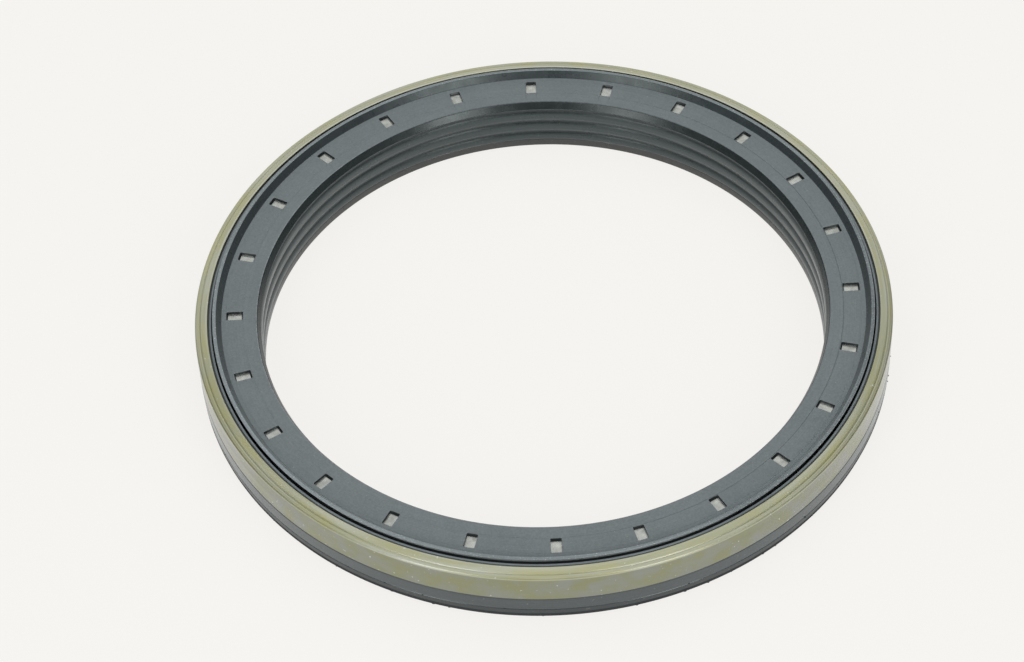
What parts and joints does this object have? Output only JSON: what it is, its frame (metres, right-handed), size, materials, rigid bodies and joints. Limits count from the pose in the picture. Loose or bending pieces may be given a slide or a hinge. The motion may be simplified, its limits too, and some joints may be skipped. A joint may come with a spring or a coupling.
{
  "type": "radial shaft seal",
  "caption": "Cassette radial shaft seal: a lipped outer ring with a lacquered steel case, and a turning inner ring with a ribbed rubber bore and a windowed rubber face.",
  "frame": {"origin": "on the seal's axis, level with the foot of the inner ring, at the oil side", "axes": "+Z along the axis, from the oil side to the outside face; +X through the middle of one window"},
  "size_m": [0.16, 0.16, 0.016],
  "materials": {
    "case_lacquer": "steel sheet under a thin olive bonding lacquer, blotchy, satin",
    "lip_rubber": "moulded nitrile rubber, matt dark grey",
    "spring_steel": "close-wound spring wire, oily satin",
    "sleeve_steel": "bright phosphated steel sheet, satin",
    "face_rubber": "moulded nitrile rubber, matt blue-grey with a fine dusting"
  },
  "bodies": {
    "outer_ring": {"outer_case": "case_lacquer", "lip_rubber": "lip_rubber", "garter_spring": "spring_steel"},
    "inner_ring": {"running_sleeve": "sleeve_steel", "sleeve_rubber": "face_rubber"}
  },
  "joints": [
    {"name": "ring_spin", "type": "hinge", "parent": "outer_ring", "child": "inner_ring", "pos_m": [0, 0, 0], "axis": [0, 0, 1], "continuous": true}
  ]
}
